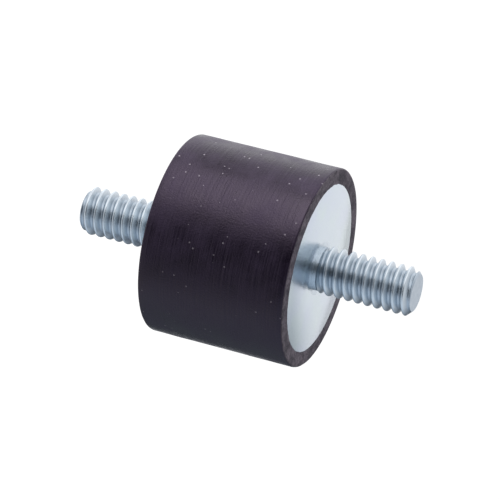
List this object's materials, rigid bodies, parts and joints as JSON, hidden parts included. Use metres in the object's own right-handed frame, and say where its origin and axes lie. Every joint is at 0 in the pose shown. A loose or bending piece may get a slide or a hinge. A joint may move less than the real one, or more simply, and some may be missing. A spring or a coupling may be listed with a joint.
{
  "type": "bobbin vibration mount",
  "caption": "Rubber bobbin vibration mount: a rubber cylinder between two steel end plates, with a threaded stud on each end.",
  "frame": {"origin": "on the stud axis, in the lower seating face, where the lower stud leaves its plate", "axes": "+Z along the stud axis, from the lower stud to the upper stud; X and Y are alike"},
  "size_m": [0.0254, 0.0254, 0.0445],
  "materials": {
    "rubber": "moulded and ground natural rubber, black, satin",
    "plate": "clear zinc plate over cold-rolled steel, satin",
    "stud": "clear zinc plate over rolled thread, bright"
  },
  "bodies": {
    "root": {"rubber_body": "rubber", "upper_plate": "plate", "lower_plate": "plate", "upper_stud": "stud", "lower_stud": "stud"}
  },
  "joints": []
}
